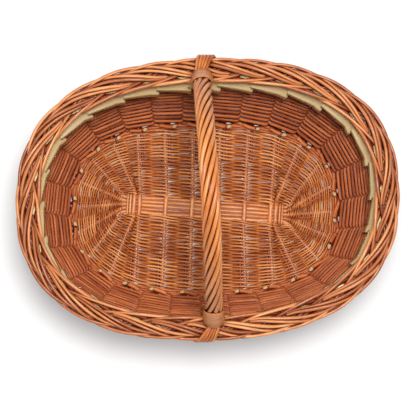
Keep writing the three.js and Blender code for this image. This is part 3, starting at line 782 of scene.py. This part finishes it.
handle = {
    "rise": 167, "power": 0.84, "bow": 2.8,  # bow is how far the hoop leans to the left
    "shift": 0.14, "footShift": 0.08, "inset": 12, "spring": 191.7, "depth": 55,
    "core": 4.8, "coreTip": 2.5, "strands": 8, "strand": 2.75, "gap": 0.3,
    "wound": 2.45, "topTurn": 1.3125, "layChange": 0.03,  # turns in all, the turn at the top
}
rootPlaces = [wall["stakes"] / 4 + handle["shift"], 3 * wall["stakes"] / 4 + handle["shift"]]
footPlaces = [place + handle["footShift"] for place in rootPlaces]
feet = [wallPoint(place, -handle["inset"], handle["spring"]) for place in footPlaces]
archMiddle = (feet[0] + feet[1]) / 2
archHalf = feet[0] - archMiddle
archSide = unit(np.cross(archHalf, up))


def archPoints(share):
    turn = math.pi * np.asarray(share)
    points = archMiddle + archHalf * np.cos(turn)[:, None]
    points = points - archSide * (handle["bow"] * np.sin(math.pi * np.asarray(share) ** 0.7))[:, None]
    hoop = np.maximum(np.sin(turn), 0) ** (2 * handle["power"])
    points[:, 2] = handle["spring"] + handle["rise"] * hoop
    return points


def evenArch(count):
    fine = np.linspace(0, 1, 2001)
    lengths = pathLengths(archPoints(fine))
    return archPoints(np.interp(np.linspace(0, lengths[-1], count), lengths, fine))


arch = evenArch(161)
legs = []
for end in range(2):
    z = np.linspace(wall["height"] - handle["depth"], wall["height"], 6)
    legs.append(np.concatenate([wallPoint(rootPlaces[end], 0, z), [feet[end]]]))
corePath = np.concatenate([legs[0][:-1], arch, legs[1][:-1][::-1]])
coreRadius = np.full(len(corePath), handle["core"])
coreRadius[:6] = coreRadius[-6:] = handle["coreTip"]
addRods("handle_bow", [{"path": corePath, "radius": coreRadius, "up": archSide, "tint": 0.4}],
        ["handle_core"], barkFinish, 10, 10)

archAlong = unit(np.gradient(arch, axis=0))
archOver = np.cross(archAlong, archSide)
windShare = np.linspace(-0.5, 0.5, len(arch))
# a steeper lay at the top
windShare = windShare + handle["layChange"] * np.sin(2 * math.pi * windShare)
for i in range(handle["strands"]):
    wind = 2 * math.pi * (i / handle["strands"] + handle["topTurn"] + handle["wound"] * windShare)
    reach = handle["core"] + handle["gap"] + handle["strand"]
    path = arch + reach * (archSide * np.cos(wind)[:, None] + archOver * np.sin(wind)[:, None])
    rod = {"path": path, "radius": handle["strand"], "up": archSide, "tint": random.uniform(0.45, 0.8)}
    addRods(f"handle_rod_{i + 1}", [rod], [f"handle_strand_{i + 1}"],
            handleFinish, 10, 80 + i)
print("handle strands done")

# Collars and lashings

foot = {
    "collarInside": 10.7, "collarOutside": 11.9, "collarHigh": 46, "collarLow": 22, "collarSink": 1.5,
    "lashRods": 5, "lashRod": 2.1, "bends": (128, 105, 82, 58, 35, 10, -15, -40, -60),
    "lashOut": 11.5, "lashUp": 10.5, "lashLevel": 180.85, "lashEnd": 5.9, "tail": 8,
    "lean": {"far": (4.5, -11), "near": (3.5, -22)}, "raise": {"far": 3.6, "near": 1.0},
    "fan": (0.5, 0.95, 1.05),  # narrow under the collar, wide below it
}

archLengths = pathLengths(arch)
for name, end in (("far", 0), ("near", 1)):
    _, normal = wallFrame(footPlaces[end], wall["height"])
    out = np.array([normal[0], normal[1], 0])
    side = np.array([-normal[1], normal[0], 0])
    leg = arch if end == 0 else arch[::-1]
    turns = np.linspace(0, 2 * math.pi, 64, endpoint=False)
    facing = np.sin(turns)  # 1 on the outer side of the leg
    high = foot["collarLow"] + (foot["collarHigh"] - foot["collarLow"]) * (0.5 + 0.5 * facing)
    inside, outside = foot["collarInside"], foot["collarOutside"]
    section = [(inside, 0), (inside + 1, -0.03), (outside + 0.6, 0), (outside + 1.1, 0.12),
               (outside + 1.0, 0.3), (outside + 0.7, 0.5), (outside + 0.4, 0.7), (outside + 0.1, 0.88),
               (outside - 0.3, 0.98), (inside + 0.3, 1.0), (inside, 0.9), (inside, 0.5)]
    grid = np.zeros((len(turns), len(section), 3))
    grain = np.zeros(grid.shape)
    for column, (reach, rise) in enumerate(section):
        height = high * rise - foot["collarSink"] * (1 - rise)
        centre, ahead = (np.stack([np.interp(length, archLengths, axis) for axis in leg.T], -1)
                         for length in (height, height + 3))
        tangent = ahead - centre
        centre += unit(tangent) * np.minimum(height, 0)[:, None]
        over = unit(out - unit(tangent) * (unit(tangent) @ out)[:, None])
        around = side * np.cos(turns)[:, None] + over * np.sin(turns)[:, None]
        grid[:, column] = centre + reach * around
        grain[:, column] = np.stack([height, reach + height * 0, turns * outside], -1)
    addPiece(f"collar_{name}", [ringMesh(grid, grain)], [0.62], [f"handle_collar_{name}"],
             handleFinish)
    rods = []
    for i in range(foot["lashRods"]):
        across = (i - (foot["lashRods"] - 1) / 2) * 2 * foot["lashRod"]
        bends = np.radians(foot["bends"])
        offset = (foot["lashOut"] + foot["raise"][name] + foot["lashRod"]) * np.cos(bends)
        z = foot["lashLevel"] + (foot["lashUp"] + foot["lashRod"]) * np.sin(bends)
        offset = np.append(offset, foot["lashEnd"] + foot["lashRod"])
        z = np.append(z, wall["height"] - foot["tail"])
        lean = np.linspace(*foot["lean"][name], len(z))
        fan = np.interp(np.arange(len(z)), (0, 4, len(z)), foot["fan"])
        points = wallPoint(footPlaces[end], offset, z) + side * (across * fan + lean)[:, None]
        rods.append({"path": smoothThrough(points, 5), "radius": foot["lashRod"], "up": side,
                     "tint": random.uniform(0.15, 0.6), "cut": "end"})
    addRods(f"lashing_{name}", rods, [f"handle_lashing_{name}"], handleFinish, 9,
            94 + end)
print("collars and lashings done")

# Floor, lights and camera

studio = {
    "floorSize": 40, "floorColour": (0.9, 0.9, 0.9, 1), "floorRoughness": 0.9, "floorSpecular": 0.1,
    "floorWhite": 0.36, "fill": 0.18,
    "keyPlace": (0.05, 0.1, 2.4), "keyAim": 0.1, "keySize": 0.5, "keyPower": 60,
    "camera": (-44, -145, 2000), "aim": (4.2, 2.2, 0), "lens": 133.6,
}

bpy.ops.object.select_all(action="DESELECT")
bpy.ops.mesh.primitive_plane_add(size=studio["floorSize"], location=(0, 0, 0))
floor = bpy.context.object
floor.name = "floor"
floor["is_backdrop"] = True
floorFinish = bpy.data.materials.new("floor_white")
floorFinish.use_nodes = True
nodes, links = floorFinish.node_tree.nodes, floorFinish.node_tree.links
floorShader = nodes["Principled BSDF"]
floorShader.inputs["Base Color"].default_value = studio["floorColour"]
floorShader.inputs["Roughness"].default_value = studio["floorRoughness"]
floorShader.inputs["Specular IOR Level"].default_value = studio["floorSpecular"]
glow = nodes.new("ShaderNodeEmission")
glow.inputs["Strength"].default_value = 1.0
rays = nodes.new("ShaderNodeLightPath")
glossy, clear, seen = (nodes.new("ShaderNodeMath") for i in range(3))
glossy.operation = clear.operation = "MAXIMUM"
seen.operation = "MULTIPLY"
seen.inputs[1].default_value = studio["floorWhite"]
both = nodes.new("ShaderNodeMixShader")
links.new(rays.outputs["Is Camera Ray"], glossy.inputs[0])
links.new(rays.outputs["Is Glossy Ray"], glossy.inputs[1])
links.new(glossy.outputs[0], clear.inputs[0])
links.new(rays.outputs["Is Transmission Ray"], clear.inputs[1])
links.new(clear.outputs[0], seen.inputs[0])
links.new(seen.outputs[0], both.inputs[0])
links.new(floorShader.outputs[0], both.inputs[1])
links.new(glow.outputs[0], both.inputs[2])
links.new(both.outputs[0], nodes["Material Output"].inputs["Surface"])
floor.data.materials.append(floorFinish)


def softLight(name, place, size, strength):
    bpy.ops.object.light_add(type="AREA", location=place)
    light = bpy.context.object
    light.name = name
    light.data.shape = "DISK"
    light.data.size = size
    light.data.energy = strength
    facing = Vector((0, 0, studio["keyAim"])) - Vector(place)
    light.rotation_euler = facing.to_track_quat("-Z", "Y").to_euler()


softLight("key_light", studio["keyPlace"], studio["keySize"], studio["keyPower"])

world = bpy.data.worlds.new("studio")
bpy.context.scene.world = world
world.use_nodes = True
world.node_tree.nodes["Background"].inputs["Color"].default_value = (1, 1, 1, 1)
world.node_tree.nodes["Background"].inputs["Strength"].default_value = studio["fill"]

place, aim = (Vector(studio[key]) * 0.001 for key in ("camera", "aim"))
forward = (aim - place).normalized()
right = forward.cross(Vector((0, 1, 0))).normalized()
above = right.cross(forward)
bpy.ops.object.camera_add(location=place)
camera = bpy.context.object
camera.rotation_euler = Matrix((right, above, -forward)).transposed().to_euler()
camera.data.lens = studio["lens"]
camera.data.sensor_width = 36
camera.data.clip_end = 30
bpy.context.scene.camera = camera
bpy.context.scene.view_settings.view_transform = "Standard"
print("floor, lights and camera done")

low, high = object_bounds()
